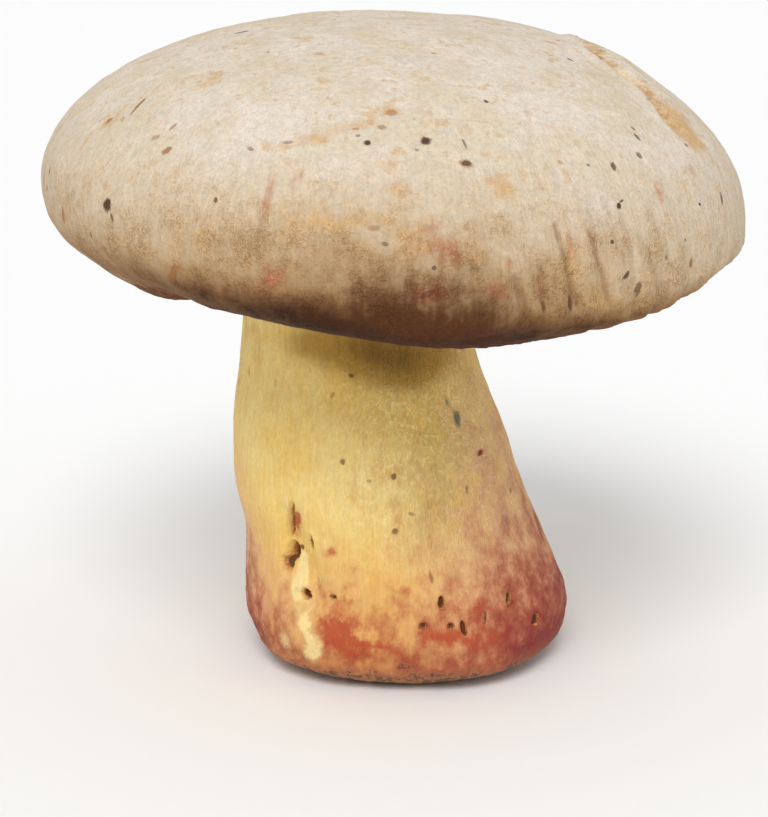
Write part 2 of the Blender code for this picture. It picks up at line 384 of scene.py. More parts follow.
def capForm(theta, s):
    # s 0 to 1 is a superellipse from the crown to the widest line, 1 to 2 a second one in to the margin;
    # waves of one to three turns make plan, widest line and undercurl uneven, and the whole leans a little
    radius = cap["radius"] * (1.0 + waves(theta, cap["planWaves"]))
    dome = np.clip(s, 0.0, 1.0) * pi / 2
    share = cap["marginShare"] + waves(theta, cap["marginWaves"])
    full = np.arccos(share ** (cap["curlFullness"] / 2))
    curl = np.clip(s - 1.0, 0.0, 1.0) * full
    out = np.sin(dome) ** (2 / cap["fullness"]) * np.cos(curl) ** (2 / cap["curlFullness"])
    rise = cap["rise"] * np.clip(np.cos(dome), 0.0, 1.0) ** (2 / cap["fullness"])
    drop = (np.sin(curl) / np.sin(full)) ** (2 / cap["curlFullness"])
    x, y = radius * out * np.cos(theta), radius * out * np.sin(theta)
    z = rise - drop * (cap["drop"] + waves(theta, cap["curlWaves"]))
    z = z + cap["widest"] - cap["tiltX"] * x - cap["tiltY"] * y
    z = z + waves(theta, cap["widestWaves"]) * np.clip(s, 0.0, 1.0) ** 2
    return np.stack([x + cap["centreX"], y, z], axis=-1)


def lineField(points, line):  # distance from a polyline in the surface, and which side of it a point lies on
    nearest, side = np.full(points.shape[:-1], np.inf), np.zeros(points.shape[:-1])
    for a, b in zip(line, line[1:]):
        length = np.linalg.norm(b - a)
        way = (b - a) / length
        along = np.clip((points - a) @ way, 0.0, length)
        away = points - a - along[..., None] * way
        distance = np.linalg.norm(away, axis=-1)
        closer = distance < nearest
        side = np.where(closer, np.sign(away @ np.array([-way[1], way[0], 0.0])), side)
        nearest = np.where(closer, distance, nearest)
    return nearest, side


def makeCapGrid():
    s = np.concatenate([np.arange(1, cap["domeRings"] + 1) / cap["domeRings"],
                        1 + np.arange(1, cap["curlRings"] + 1) / cap["curlRings"]])[:, None]
    theta = (np.arange(cap["around"]) * 2 * pi / cap["around"])[None, :]
    s, theta = s + 0 * theta, theta + 0 * s
    form = capForm(theta, s)
    normals = normalsOf(form)
    grain = np.stack([0.16 * np.cos(theta), 0.16 * np.sin(theta), 0.05 * s], axis=-1)

    fade = smooth((s - 0.62) / 0.5) * (1.0 - 0.6 * smooth((s - 1.6) / 0.35))
    wander = theta + radians(1.6) * lumps(grain + (0, 0, 0.1), 0.03, 3)
    relief = cap["swellHeight"] * bell(theta, cap["swellAzimuth"], cap["swellSpread"]) * fade
    for azimuth, height in cap["folds"]:
        relief = relief + height * bell(wander, azimuth, cap["foldSpread"]) * fade
    relief = relief + 0.0006 * np.sin(3 * theta + 4 * s) * s + 0.0004 * np.cos(5 * theta - 6 * s) * s

    # soft dimples, fine radial wrinkles that grow towards the margin, and the felt's own unevenness
    front = bell(theta, -52, 34)
    relief = relief + 0.00045 * lumps(form, 0.017, 1) + 0.00022 * lumps(form, 0.0075, 2)
    relief = relief + (0.00010 + 0.00030 * front) * lumps(grain, 0.0045, 4) * smooth((s - 0.45) / 0.6)
    relief = relief + 0.00009 * lumps(form, 0.0028, 5)

    # the furrow mask carries painted shade in the furrows, the ridge mask a painted highlight beside them
    furrow, ridge = np.zeros_like(s), np.zeros_like(s)
    for pixels, half, depth in cap["furrows"]:
        line = [place(form, normals, x, y)[0] for x, y in pixels]
        away, side = lineField(form, line)
        groove = bump(away, 0.0, half * 1e-3)
        relief = relief - depth * 1e-3 * groove + 0.3e-3 * depth * bump(away, 0.0022, 0.0011)
        furrow = np.maximum(furrow, groove * min(1.0, depth * 2))
        tip = np.minimum(*(np.linalg.norm(form - end, axis=-1) for end in (line[0], line[-1])))
        crest = bump(away, 0.0021, 0.0009) * (side > 0) * smooth((tip - 0.0022) / 0.004)
        ridge = np.maximum(ridge, crest * min(1.0, depth * 1.4))

    slit = [place(form, normals, x, y)[0] for x, y in cap["slit"]]
    away, side = lineField(form, slit)
    away = away + 0.0006 * lumps(form, 0.003, 8)
    ends = np.minimum(smooth((form[..., 2] - slit[-1][2] + 0.004) / 0.008), 1.0)
    floor = np.where(side > 0, smooth(1.0 - away / cap["slitWidth"]), smooth(1.0 - away / 0.0011))
    lip = np.where(side > 0, bump(away, 0.0085, 0.004), bump(away, 0.002, 0.0015))
    relief = relief + (0.0009 * lip - cap["slitDepth"] * floor) * ends
    torn = ends * smooth((0.012 - away) / 0.004)

    nicks = sum(depth * bell(theta, azimuth, cap["nickSpread"]) for azimuth, depth in cap["nicks"])
    ragged = 0.0005 * np.maximum(lumps(grain, 0.0035, 6), -0.2)
    relief = relief - (nicks + ragged) * smooth((s - 1.55) / 0.45)

    out = form - (cap["centreX"], 0.0, cap["widest"])
    out = out * (1.0, 1.0, 1.6)
    out = out / np.linalg.norm(out, axis=-1, keepdims=True)
    return dict(s=s, theta=theta, form=form, normals=normals, skin=form + out * relief[..., None],
                furrow=furrow, ridge=ridge, torn=torn, away=away, side=side)


def inwardOf(margin):  # the level unit ways from the margin towards the cap's middle
    inward = np.stack([cap["centreX"] - margin[:, 0], -margin[:, 1], 0 * margin[:, 0]], axis=-1)
    return inward / np.linalg.norm(inward, axis=-1, keepdims=True)


def makeCap(grid):
    margin = grid["skin"][-1]
    inward, lift = inwardOf(margin), np.array([0.0, 0.0, 1.0])
    # the edge turns under in a thin bare rim, then runs up inside the flesh, out of sight
    rim = [margin + inward * cap["rimInset"] * t + lift * cap["rimRise"] * t * t
           for t in (0.2, 0.45, 0.7, 1.0)]
    hidden = [rim[-1] + inward * 0.0004 + lift * 0.004, rim[-1] + inward * 0.018 + lift * 0.009]
    rings = np.concatenate([grid["skin"], rim, hidden])
    crown = capForm(np.zeros(1), np.zeros(1))[0]
    piece = ringMesh("capSkin", rings, crown, np.array([cap["centreX"], 0.0, cap["widest"] + 0.004]))

    s, theta = grid["s"], grid["theta"]
    masks = patchMasks(grid, capPatches)
    masks["furrow"], masks["ridge"], masks["torn"] = grid["furrow"], grid["ridge"], grid["torn"]
    # darker towards the lower front: the cap's tan, partly painted shade of the undercurl
    masks["low"] = np.clip((s - cap["tanStart"]) / cap["tanSpan"], 0.0, 1.0) * onSides(
        theta, cap["tanSides"], cap["tanElsewhere"])
    masks["edge"] = smooth((s - 1.55) / 0.4)
    masks["tear"] = np.where(grid["side"] > 0, 1.0, -1.0) * grid["away"] * 100  # in centimetres
    tail = len(rings) - len(s)
    for name, values in masks.items():
        below = np.repeat(values[-1:], tail, axis=0)
        paint(piece, name, overRings(np.concatenate([values, below]), values[0].mean(), 0.0))
    paintMarks(piece, "specks", markFields(grid, capSpecks), tail)
    paintMarks(piece, "scars", markFields(grid, capScars), tail)
    return piece


# Soft patches of colour on the skin: pixel, half width and half height in millimetres, turn, strength
capPatches = dict(
    ochre=(
        (150, 59, 5, 2.5, 35, 0.7), (215, 31, 6.5, 3, 15, 0.6), (313, 139, 5, 3, 10, 0.8),
        (356, 127, 5, 2.2, 5, 0.7), (391, 110, 2.6, 2.2, 0, 0.9), (367, 85, 4, 3, 0, 0.5),
        (394, 189, 4, 3.2, 0, 0.6), (321, 217, 3.5, 2.6, 0, 0.7), (506, 190, 3.6, 3.6, 30, 0.9),
        (235, 119, 2.2, 3.4, 0, 0.5), (130, 185, 4, 5, 0, 0.5), (550, 43, 2.2, 1.1, 0, 1),
        (600, 292, 3.6, 5, 0, 0.8), (690, 263, 1.8, 1.8, 0, 0.9), (110, 122, 5, 5, 0, 0.4),
        (70, 222, 3, 5, 10, 0.6), (184, 245, 9, 6, 0, 0.5), (420, 245, 9, 6, 0, 0.6),
        (480, 100, 7, 6, 0, 0.3), (540, 80, 8, 5, 0, 0.3), (680, 128, 7, 5, -50, 0.8),
        (630, 70, 4, 2, -40, 0.6), (320, 53, 3, 2.6, 0, 0.4), (250, 40, 9, 4, 0, 0.4),
        (672, 118, 6, 4, -50, 0.7), (690, 142, 5, 4, -40, 0.4), (572, 262, 1.6, 6, 6, 0.7),
        (480, 250, 4, 4, 0, 0.4), (290, 215, 4, 6, 0, 0.5), (346, 222, 9, 2, 0, 0.6),
    ),
    pink=(
        (268, 196, 1.3, 5, -14, 1), (297, 180, 1.1, 4.2, -22, 0.8), (232, 196, 1.2, 5, -8, 0.35),
        (326, 205, 1.5, 3, 0, 0.5), (426, 112, 2.6, 2, 0, 0.5), (658, 191, 1.7, 3.4, 12, 0.8),
        (687, 169, 2.6, 3.4, 0, 0.5), (507, 262, 1.3, 1.8, 10, 1), (432, 228, 1.5, 2.2, 0, 0.9),
        (442, 251, 6, 4.5, 0, 0.8), (426, 293, 3.8, 2, 10, 1.3), (493, 289, 3.6, 2.2, -20, 0.9),
        (571, 246, 0.9, 5, 8, 0.9), (537, 287, 1, 3.4, 8, 0.9), (277, 280, 2.5, 3, 0, 0.8),
        (261, 276, 3.5, 4.5, 0, 0.5), (47, 180, 1.5, 5, 0, 1.2), (60, 130, 2, 3, 40, 0.7),
        (67, 215, 1.3, 2.4, 0, 1.2), (188, 37, 3, 1, 25, 0.8), (107, 184, 1.5, 1.8, 0, 0.5),
        (375, 228, 2.4, 1.6, 0, 0.6), (319, 53, 1.6, 1.3, 0, 0.7), (590, 240, 3, 4, 0, 0.3),
        (54, 219, 1.4, 2.2, 20, 0.9), (720, 160, 3, 6, 0, 0.3), (340, 250, 8, 3, 0, 0.4),
        (310, 20, 9, 3, 0, 0.4), (174, 288, 4, 2, -12, 0.5), (480, 330, 9, 2, 0, 0.5),
    ),
    # brown: stains, and painted shade along the lower front of the undercurl
    brown=(
        (470, 315, 11, 4.5, 5, 1), (400, 318, 13, 4.5, 0, 0.9), (330, 316, 12, 4, -8, 0.4),
        (265, 302, 9, 3, -10, 0.2), (440, 295, 8, 5, 0, 0.2), (545, 322, 6, 3.5, 5, 0.7),
        (170, 277, 1.8, 3.6, 0, 0.8), (139, 275, 4, 1, 0, 0.5), (93, 262, 2.4, 1.4, -40, 0.8),
        (520, 312, 1.8, 4, 8, 0.8), (568, 300, 1.4, 3.6, 8, 0.8), (600, 320, 5, 2.5, 12, 0.6),
        (654, 107, 1.6, 1.4, -45, 0.9), (600, 58, 3, 0.9, -42, 0.9), (366, 297, 14, 5, 0, 0.3),
        (220, 303, 5, 1.5, -15, 0.7), (660, 300, 6, 2, 18, 0.4), (405, 286, 12, 6.5, 0, 0.6),
        (362, 300, 12, 7, 0, 0.35), (455, 258, 8, 5, -20, 0.45), (440, 328, 16, 8, 0, 1.2),
    ),
    grey=(
        (200, 120, 12, 8, 0, 0.5), (420, 60, 16, 7, 0, 0.6), (600, 130, 11, 8, 0, 0.5),
        (600, 200, 9, 8, 0, 0.6), (225, 160, 10, 8, 0, 0.6), (470, 140, 9, 7, 0, 0.4),
        (655, 288, 6, 4, 0, 0.25), (530, 235, 5, 6, 0, 0.5), (520, 320, 4, 4, 0, 0.3),
        (700, 200, 6, 8, 0, 0.5), (330, 165, 7, 5, 0, 0.5), (120, 160, 6, 7, 0, 0.3),
        (560, 60, 9, 5, 0, 0.4), (350, 40, 10, 5, 0, 0.4),
    ),
)

# Small crisp marks: pixel, half width and half height in millimetres, turn, darkness
capSpecks = (
    (426, 140.5, 1.05, 1, 0, 1), (367.5, 143, 0.62, 0.6, 0, 1), (467, 162.5, 0.9, 0.6, 10, 0.8),
    (486.5, 100.5, 0.5, 0.38, -35, 0.9), (109, 205, 1.25, 1.2, 30, 1), (113, 218, 0.35, 0.9, 20, 0.7),
    (242, 32, 1.5, 0.6, 5, 0.85), (268, 52, 0.35, 0.3, 0, 0.7), (358, 136, 0.4, 0.3, 0, 0.6),
    (288, 143, 1, 0.35, 0, 0.5), (215, 200, 0.35, 0.5, 0, 0.8), (54, 172, 0.5, 0.9, 0, 0.7),
    (51, 189, 0.4, 0.6, 0, 0.8), (92, 235, 0.4, 0.6, 0, 0.6), (385, 244, 0.6, 0.35, -20, 0.6),
    (557.5, 41.5, 0.6, 0.35, 20, 0.9), (570, 60, 0.85, 0.3, -28, 0.9), (434.5, 52, 0.6, 0.3, 0, 0.4),
    (631, 130, 0.6, 0.28, -20, 0.7), (635, 138, 0.9, 0.4, -40, 0.75), (638, 156, 0.8, 0.5, -40, 0.7),
    (614, 166, 0.55, 0.9, 25, 0.85), (619, 206, 0.5, 0.7, -15, 1), (622, 201, 0.6, 0.2, 40, 0.8),
    (612, 242, 0.42, 0.42, 0, 0.9), (697, 204.5, 0.32, 0.3, 0, 1), (719, 199, 0.5, 1.3, 12, 0.75),
    (624, 275, 1.2, 0.45, 32, 0.9), (636, 288, 0.7, 1.4, -25, 0.7), (683, 146.5, 0.4, 0.4, 0, 0.7),
    (665, 258, 0.3, 0.5, 0, 0.6), (589, 164.5, 0.3, 0.25, 0, 0.7), (684, 240, 0.3, 0.25, 0, 0.6),
    (465, 143, 0.22, 1.2, 20, 0.6), (433, 267, 0.45, 0.35, 0, 0.7), (690, 263, 0.7, 0.9, 0, 0.6),
    (652, 109, 0.9, 0.5, -45, 0.9), (663, 124, 0.8, 0.3, -35, 0.7), (426, 292, 1.6, 0.5, 25, 0.5),
    (417, 150, 0.3, 0.25, 0, 0.5), (567, 301, 0.5, 1.5, 6, 0.7), (541, 305, 0.5, 0.9, 0, 0.6),
)
capScars = (  # rust-brown dashes and chips
    (139.5, 106, 2.8, 0.42, 52, 1), (110, 121.5, 0.9, 0.6, 30, 0.9), (167, 151, 1.1, 0.7, 20, 0.9),
    (156, 138, 1, 0.6, 0, 0.6), (173, 127, 1, 0.35, 40, 0.7), (250.5, 149, 0.75, 0.4, -40, 0.8),
    (382, 127, 0.8, 0.7, 0, 0.7), (467, 163, 1.4, 0.95, 0, 0.7), (562, 161.5, 0.7, 0.5, 0, 0.5),
    (105, 119, 1.4, 0.3, 0, 0.5), (355.5, 129, 0.7, 0.3, 0, 0.6), (624, 241, 0.5, 0.9, 20, 0.4),
    (172, 272, 0.8, 2, -20, 0.7), (137, 275, 2.6, 0.35, 5, 0.6), (391, 112, 1.3, 0.9, 10, 0.7),
    (374, 228, 1.2, 0.5, 0, 0.5), (67, 216, 0.7, 1.4, 0, 0.7), (583, 43, 2, 0.5, -35, 0.9),
    (594, 52, 2.6, 0.5, -40, 0.9), (647, 98, 1.6, 0.5, -40, 0.7),
)


def capFinish():
    material, tree, shader = newMaterial("feltedCap")
    start, hue = Wire(tree), tints(cap["colours"])
    here = start.node("ShaderNodeTexCoord", {}, {}, 3)
    # from the middle outwards: the way round as a unit vector, so that fibres run down the cap with no seam
    flat = here.vector("ADD", (-cap["centreX"], 0.0, 0.0)).stretched(1.0, 1.0, 0.0)
    reach = flat.vector("LENGTH", (0, 0, 0), 1)
    way = flat.node("ShaderNodeVectorMath", {"operation": "NORMALIZE"}, {0: flat})
    height = here.node("ShaderNodeSeparateXYZ", {}, {0: here}, 2)
    outer = reach.rise(0.045, 0.078)
    fibreAt = way.stretched(0.12, 0.12, 0.0).vector(
        "ADD", start.node("ShaderNodeCombineXYZ", {}, {2: (reach - height) * 0.2}))
    fibre, fineFibre = fibreAt.ripple(330.0, 3.0, 0.6) * outer, fibreAt.ripple(1100.0, 2.0, 0.6) * outer
    cloud, blotch = here.ripple(38.0, 3.0, 0.55), here.ripple(88.0, 3.0, 0.6)
    mottle, grain = here.ripple(210.0, 4.0, 0.65), here.ripple(640.0, 3.0, 0.7)
    fine, speckle = here.ripple(420.0, 3.0, 0.6), here.ripple(1700.0, 2.0, 0.75)
    felt = here.warped(500.0, 0.0034).seams(820.0).rise(0.22, 0.02)  # pale threads of the felt
    coarse = here.warped(240.0, 0.0060).seams(330.0).rise(0.09, 0.01)

    skin = (cloud * 0.5 + blotch * 0.8 + mottle * 0.3).rise(-0.13, 0.13).blend(hue["cream"], hue["pale"])
    skin = (blotch * 0.6 - cloud * 0.4 + mottle * 0.7).rise(0.04, 0.24, 0.8).blend(skin, hue["sand"])
    skin = (fine + mottle * 0.5).rise(0.02, 0.24, 0.40).blend(skin, hue["fleck"])
    skin = (fine - mottle * 0.4).rise(-0.06, -0.18, 0.45).blend(skin, hue["mist"])
    # tan, partly the cap's own colour and partly painted shade, grows downwards in four steps to the dark
    # brown of the lower front
    low = start.attribute("low")
    uneven = cloud * 0.16 + blotch * 0.26 + mottle * 0.40 + fibre * 0.16
    low = low + uneven * low.rise(0.02, 0.30)
    for begin, end, colour in cap["tans"]:
        skin = low.rise(begin, end).blend(skin, tint(*colour))
    grey = start.attribute("grey") * (mottle + blotch + 0.85)
    skin = grey.rise(0.15, 0.9, 0.7).blend(skin, hue["grey"])
    ochre = start.attribute("ochre") * (mottle * 2.0 + blotch + 0.72)
    skin = ochre.rise(0.10, 0.85, 0.8).blend(skin, hue["ochre"])
    pink = start.attribute("pink") * (fibre * 1.2 + mottle * 2.2 + 0.75)
    skin = pink.rise(0.10, 1.10, 0.75).blend(skin, hue["pink"])
    # brown patches: stains, partly painted shade on the lower front
    stainAndShade = start.attribute("brown") * (mottle * 1.3 + fibre * 0.8 + blotch + 0.80)
    skin = stainAndShade.rise(-0.10, 2.10, 0.95).blend(skin, hue["brown"])
    # painted shade in the furrows and a painted highlight on the ridges beside them
    furrow = start.attribute("furrow") * (fibre + mottle + 1.0)
    skin = furrow.rise(0.20, 1.1, 0.55).blend(skin, hue["groove"])
    ridge = start.attribute("ridge") * (mottle + fibre + 0.9)
    skin = ridge.rise(0.2, 1.1, 0.45).blend(skin, hue["crest"])
    edge = start.attribute("edge") + mottle * 1.2 + blotch * 0.6
    skin = edge.rise(0.30, 1.2, 0.85).blend(skin, hue["rim"])

    # the slit: skin torn open over yellow-brown flesh, rusty along its sharp edge
    tear, torn = start.attribute("tear"), start.attribute("torn")  # tear is less than 0 on the whole side
    ribbon = tear.rise(-0.01, 0.03) * (tear + mottle * 1.0 + blotch * 0.8).rise(0.70, 0.22) * torn
    flesh = (mottle + grain * 0.6).rise(-0.10, 0.12).blend(hue["flesh"], hue["paleFlesh"])
    skin = (ribbon * 0.88).blend(skin, flesh)
    rust = (tear + mottle * 0.35).rise(-0.06, 0.03) * (tear + mottle * 0.5).rise(0.22, 0.04)
    rust = rust * torn * (blotch * 1.5 + 0.95)
    skin = rust.rise(0.10, 0.65, 0.9).blend(skin, hue["rust"])

    # loose fine specks, thicker in some places than in others
    dots = here.node("ShaderNodeTexVoronoi", {"feature": "F1"}, {"Vector": here, "Scale": 210.0})
    dust = dots.rise(0.13, 0.05) * here.noise(60.0, 2.0, 0.5).rise(0.55, 0.70)
    skin = (dust * 0.5).blend(skin, hue["dust"])

    fray = here.drift(1300.0, 1.0, 0.5, 0.9, 0.9, 0.0)
    scars, darks = start.marks("scars", fray), start.marks("specks", fray)
    skin = (scars * 0.85).blend(skin, hue["scar"])
    skin = (darks * 0.93).blend(skin, hue["speck"])

    # the felt: grain lightens and darkens the skin, and pale threads cross it, most of all low down
    thick = (low.rise(0.06, 0.50, 0.75) + 0.20) * (mottle * 3.5 + blotch * 1.5 + 0.6).rise(0.0, 1.2)
    threads = (felt + coarse * 0.6) * thick
    shade = speckle * 0.36 + grain * 0.44 + mottle * 0.22 + fineFibre * 0.25 + threads * 0.24 + 0.95
    relief = speckle * 0.35 + grain * 0.55 + fibre * 0.5 + fineFibre * 0.4 + threads * 0.5
    relief = relief - darks * 0.9 - scars * 0.5
    feed(tree, shader, skin.scaled(shade), 0.86 - speckle * 0.12, relief, 0.00045)
    shader.inputs["Specular IOR Level"].default_value = 0.2
    return material


# Stem

stem = dict(
    stations=((0.0000, 0.0270, 0.0000), (0.0030, 0.0335, 0.0003), (0.0090, 0.0368, 0.0002),
              (0.0210, 0.0357, -0.0012), (0.0310, 0.0336, -0.0033), (0.0400, 0.0327, -0.0060),
              (0.0500, 0.0312, -0.0079), (0.0600, 0.0291, -0.0096), (0.0700, 0.0269, -0.0108),
              (0.0800, 0.0256, -0.0114), (0.0880, 0.0262, -0.0116)),  # height, half width, shift of the axis
    depthShare=0.95, top=0.0880, footLobes=0.0009, around=560, rings=168,
    tears=((-129, 0.0335, 6.0, 0.0085, 0.0050), (-122, 0.0245, 4.0, 0.0050, 0.0028),
           (-62, 0.0115, 4.0, 0.0035, 0.0018), (-44, 0.0200, 4.0, 0.0035, 0.0016)),
    meshesRound=168, meshTall=0.0034, netHeight=0.00012, netScale=1350.0,
    netSides=((-58, 40, 0.70), (90, 90, 0.5)), netElsewhere=0.30,
    redSides=((-28, 40, 1.0), (-176, 36, 0.9)),  # where the red is deepest
    paleTop=0.0075, soilTop=0.0060,
    colours=dict(
        straw=(236, 198, 108), butter=(242, 214, 140), amber=(218, 170, 86), mesh=(202, 156, 90),
        # the stem's olive and the umber are painted shade under the cap
        cord=(246, 226, 166), olive=(158, 118, 38), paintedShadeUmber=(102, 68, 12), peach=(206, 140, 78),
        pink=(230, 174, 142), red=(166, 82, 54), crimson=(136, 42, 40), fleck=(240, 206, 172),
        orange=(176, 76, 44), cream=(240, 216, 150), bruise=(66, 74, 78), rustWall=(170, 92, 44),
        paleWall=(212, 160, 88), hole=(80, 44, 18), speck=(104, 48, 24), foot=(206, 168, 120),
        soil=(84, 58, 42), cut=(240, 222, 168), darkCut=(214, 184, 118), blueCut=(112, 128, 118)),
    # the height where the red flush starts: azimuth, height
    flush=((-180, 0.058), (-165, 0.055), (-150, 0.048), (-132, 0.035), (-111, 0.042), (-90, 0.042),
           (-76, 0.047), (-62, 0.056), (-50, 0.068), (-35, 0.080), (-10, 0.084), (20, 0.076), (60, 0.054),
           (100, 0.040), (140, 0.044)),
    # grub-eaten holes by their pixels: half width and half height in millimetres, turn, depth
    holes=((287, 522, 0.8, 4.4, -10, 2.4), (289, 551, 1.3, 2.2, -14, 4),
           (285, 564, 1.5, 1.8, 20, 2.6), (310, 543, 0.6, 1.6, 0, 1.6),
           (303, 595, 1.4, 1, -15, 2.2), (333, 598, 0.9, 0.8, 0, 1.2), (442, 604, 0.7, 1.5, 0, 1.3),
           (451, 626, 0.7, 0.8, 0, 1.2), (465, 630, 0.8, 1.6, 20, 1.3), (423, 626, 1, 0.6, 10, 1),
           (510, 600, 0.9, 1.7, -15, 1.5), (487, 619, 0.4, 1.4, 0, 0.9), (536, 619, 1.6, 1.2, 0, 1.2)),
)


def along(stations, z, column):  # Hermite spans between the stations, by their mean slopes
    heights = np.array([row[0] for row in stations])
    values = np.array([row[column] for row in stations])
    slopes = np.gradient(values, heights)
    i = np.clip(np.searchsorted(heights, z) - 1, 0, len(heights) - 2)
    span = heights[i + 1] - heights[i]
    t = np.clip((z - heights[i]) / span, 0.0, 1.0)
    start = (2 * t**3 - 3 * t**2 + 1) * values[i] + (t**3 - 2 * t**2 + t) * span * slopes[i]
    return start + (3 * t**2 - 2 * t**3) * values[i + 1] + (t**3 - t**2) * span * slopes[i + 1]


def net(theta, z):
    # cords of a stretched net: the second nearest less the nearest of cell centres scattered on a brick
    # lattice round the stem, small on a cord and large inside a mesh
    across = (theta / (2 * pi) * stem["meshesRound"]) % stem["meshesRound"]
    upward = z / stem["meshTall"]
    first, second = np.full(theta.shape, 9.0), np.full(theta.shape, 9.0)
    for down in (-1, 0, 1):
        row = np.floor(upward) + down
        for step in (-1, 0, 1, 2):
            column = np.floor(across - 0.5 * (row % 2)) + step
            key = (column % stem["meshesRound"]) * 12.9898 + row * 78.233
            jitterX, jitterY = np.sin(key) * 43758.5453, np.sin(key + 37.7) * 24634.6345
            jitterX, jitterY = jitterX - np.floor(jitterX), jitterY - np.floor(jitterY)
            gap = np.hypot(column + 0.5 * (row % 2) + 0.85 * jitterX - 0.425 - across,
                           row + 0.05 + 0.9 * jitterY - upward)
            second = np.minimum(second, np.maximum(first, gap))
            first = np.minimum(first, gap)
    return second - first


def makeStemGrid():
    # rings from inside the cap down to the cut face, each an oval round a leaning axis
    z = stem["top"] + 0.004 - (stem["top"] + 0.004) * np.linspace(0.0, 1.0, stem["rings"]) ** 0.97
    z = z[:, None]
    theta = (np.arange(stem["around"]) * 2 * pi / stem["around"])[None, :]
    z, theta = z + 0 * theta, theta + 0 * z
    half, shift = along(stem["stations"], z, 1), along(stem["stations"], z, 2)
    foot = 1.0 - smooth(z / 0.03)
    half = half + stem["footLobes"] * foot * np.sin(5 * theta + 0.6) * smooth(z / 0.004)
    form = np.stack([shift + half * np.cos(theta), stem["depthShare"] * half * np.sin(theta), z], axis=-1)
    normals = normalsOf(form)
    for azimuth, height, spread, reach, depth in stem["tears"]:
        half = half - 0.45 * depth * bell(theta, azimuth, spread) * np.exp(-(((z - height) / reach) ** 2))

    cords = smooth(1.0 - net(theta + 0.02 * lumps(form, 0.012, 11), z) / 0.42)
    strength = smooth((z - 0.012) / 0.03) * onSides(theta, stem["netSides"], stem["netElsewhere"])
    half = half + stem["netHeight"] * cords * strength
    streaks = lumps(np.stack([form[..., 0], form[..., 1], 0.16 * z], axis=-1), 0.0011, 12)
    half = half + 0.00009 * streaks * smooth(z / 0.02)
    half = half + 0.00040 * lumps(form, 0.014, 13) + 0.00016 * lumps(form, 0.005, 14)
    rough = 0.00012 * lumps(form, 0.0016, 15) + 0.0002 * lumps(form, 0.003, 16)
    half = half + rough * smooth((0.034 - z) / 0.02)

    eaten, depth = np.zeros_like(z), np.zeros_like(z)
    for x, y, wide, tall, turn, deep in stem["holes"]:
        centre, normal = place(form, normals, x, y)
        first, second = tangents(normal, turn)
        away = form - centre
        r = np.sqrt(((away @ first) / (wide * 1e-3)) ** 2 + ((away @ second) / (tall * 1e-3)) ** 2)
        r = r + 0.45 * lumps(form, 0.0019, x) + 10 * ((away @ normal) > 0.01)
        cut = smooth((1.25 - r) / 0.65)
        depth = np.maximum(depth, deep * 1e-3 * cut)
        depth = depth - 0.00025 * np.exp(-(((r - 1.6) / 0.3) ** 2))
        eaten = np.maximum(eaten, cut)
    half = half - depth
    skin = np.stack([shift + half * np.cos(theta), stem["depthShare"] * half * np.sin(theta), z], axis=-1)
    skin[-1, :, 2] = 0.0
    return dict(form=form, normals=normals, skin=skin, netted=strength, eaten=eaten, z=z, theta=theta)


def makeStem(grid):
    rim = grid["skin"][-1]
    foot = [rim * (t, t, 0.0) for t in (0.94, 0.8, 0.6, 0.4, 0.2)]
    rings = np.concatenate([grid["skin"], foot])
    head = np.array([stem["stations"][-1][2], 0.0, stem["top"] + 0.004])
    piece = ringMesh("stem", rings, head, np.zeros(3))

    form, z, theta = grid["form"], grid["z"], grid["theta"]
    turns = np.array([a for a, height in stem["flush"]] + [180])
    heights = np.array([height for a, height in stem["flush"]] + [stem["flush"][0][1]])
    line = np.interp((np.degrees(theta) + 180) % 360 - 180, turns, heights)
    line = line + 0.004 * lumps(form, 0.012, 21) + 0.002 * lumps(form, 0.004, 22)
    masks = patchMasks(grid, stemPatches)
    masks["flush"] = (line - z) / line
    masks["netted"], masks["eaten"] = grid["netted"], grid["eaten"]
    # painted shade, growing up towards the cap
    masks["under"] = smooth((z - 0.060) / 0.026)
    masks["side"] = onSides(theta, stem["redSides"])
    below = np.zeros((len(foot), z.shape[1]))
    for name, values in masks.items():
        paint(piece, name, overRings(np.concatenate([values, below]), values[0].mean(), 0.0))
    paint(piece, "cut", overRings(np.concatenate([0 * z, below + 1.0]), 0.0, 1.0))
    paintMarks(piece, "specks", markFields(grid, stemSpecks), len(foot))
    return piece


# Soft patches on the stem, as on the cap
stemPatches = dict(
    cream=((297, 585, 2.2, 5, -6, 1), (306, 620, 2.2, 6, -12, 1), (300, 560, 1.2, 2.5, 0, 0.9),
           (314, 650, 2.4, 4.5, -8, 0.9), (285, 640, 3, 4, 0, 0.5)),
    orange=((330, 628, 6, 5, 0, 1.1), (348, 645, 5, 4, 0, 0.9), (331, 553, 2.6, 1.6, 10, 0.8),
            (316, 585, 1.3, 2.4, 0, 0.8), (294, 524, 1.5, 4, -12, 1.5), (376, 640, 5, 3, 0, 0.6),
            (405, 592, 3, 2, 0, 0.5), (368, 578, 1.5, 1, 0, 0.4), (480, 452, 1.2, 0.8, 30, 1),
            (345, 600, 5, 2.5, 0, 0.4), (440, 636, 7, 3, 0, 0.7), (478, 642, 7, 3.5, 0, 0.7),
            (432, 604, 4, 2, 0, 0.5), (474, 606, 4, 4, 0, 0.5), (395, 655, 8, 3, 0, 0.5)),
    blue=((446, 403, 0.8, 1.6, 12, 0.7), (457, 418, 1.1, 2.2, 12, 1.2), (452, 411, 0.6, 2, 25, 0.5),
          (295, 590, 0.9, 1.2, 0, 0.5)),
    # olive: painted shade at the stem's top under the cap's edge and, fainter, lower down the front
    olive=((300, 345, 5, 4, 0, 0.3), (350, 344, 10, 5, 0, 0.7), (430, 352, 11, 4.6, 0, 0.5),
           (388, 352, 13, 6, 0, 0.6), (400, 375, 10, 5, 0, 0.6), (440, 480, 12, 16, 0, 0.35),
           (470, 380, 5, 5, 0, 0.4), (420, 540, 7, 12, 0, 0.25)),
)
